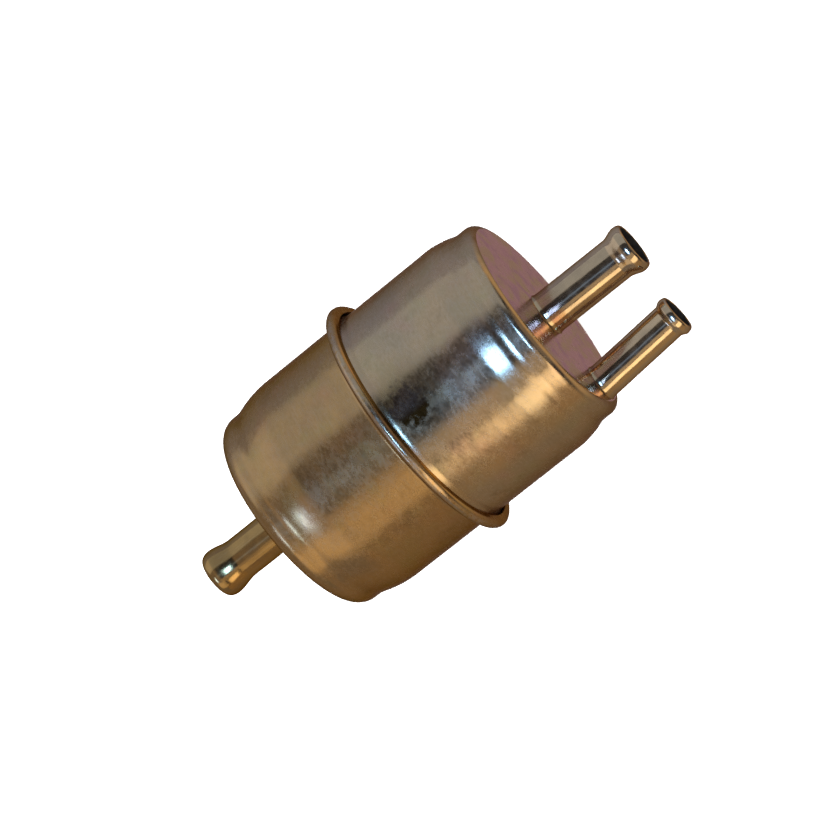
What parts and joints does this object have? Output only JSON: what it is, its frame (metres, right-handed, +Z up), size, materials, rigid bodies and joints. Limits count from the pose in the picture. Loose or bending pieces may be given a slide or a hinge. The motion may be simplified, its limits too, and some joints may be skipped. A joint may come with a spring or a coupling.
{
  "type": "in-line fuel filter",
  "caption": "Drawn steel in-line fuel filter: two hemmed cups around a spring-loaded pleated element, with inlet, outlet and vapour-return hose nipples.",
  "frame": {"origin": "on the can's axis, level with the seam between the two cups, and the centre of the bounding box", "axes": "+X along the can's axis towards the end with two nipples (the outlet end); -Y towards the return nipple; +Z up with the can lying on its side"},
  "size_m": [0.1162, 0.0582, 0.0582],
  "materials": {
    "can": "zinc plated with yellow chromate, satin",
    "nipple": "zinc plated with yellow chromate, glossy",
    "braze": "brazed fillet under the plating",
    "bare_steel": "tin-plated sheet",
    "spring_steel": "drawn spring wire",
    "orifice_brass": "turned",
    "filter_paper": "resin-treated paper",
    "plastisol": "cured plastisol",
    "nitrile": "moulded nitrile",
    "sealant": "cured compound"
  },
  "bodies": {
    "can": {"inlet_shell": "can", "outlet_shell": "can", "seam_sealant": "sealant", "inlet_nipple": "nipple", "outlet_nipple": "nipple", "return_nipple": "nipple", "inlet_nipple_braze": "braze", "outlet_nipple_braze": "braze", "return_nipple_braze": "braze", "return_orifice": "orifice_brass", "spring_seat": "bare_steel", "element_spring": "spring_steel"},
    "element": {"pleated_media": "filter_paper", "media_seam_clip": "bare_steel", "centre_tube": "bare_steel", "inlet_end_cap": "bare_steel", "outlet_end_cap": "bare_steel", "inlet_potting": "plastisol", "outlet_potting": "plastisol", "outlet_grommet": "nitrile"}
  },
  "joints": [
    {"name": "element_float", "type": "slide", "parent": "can", "child": "element", "axis": [-1, 0, 0], "range_m": [0, 0.002], "stiffness_N_per_m": 1500, "springref_m": -0.004, "deforming": ["element_spring"]}
  ]
}
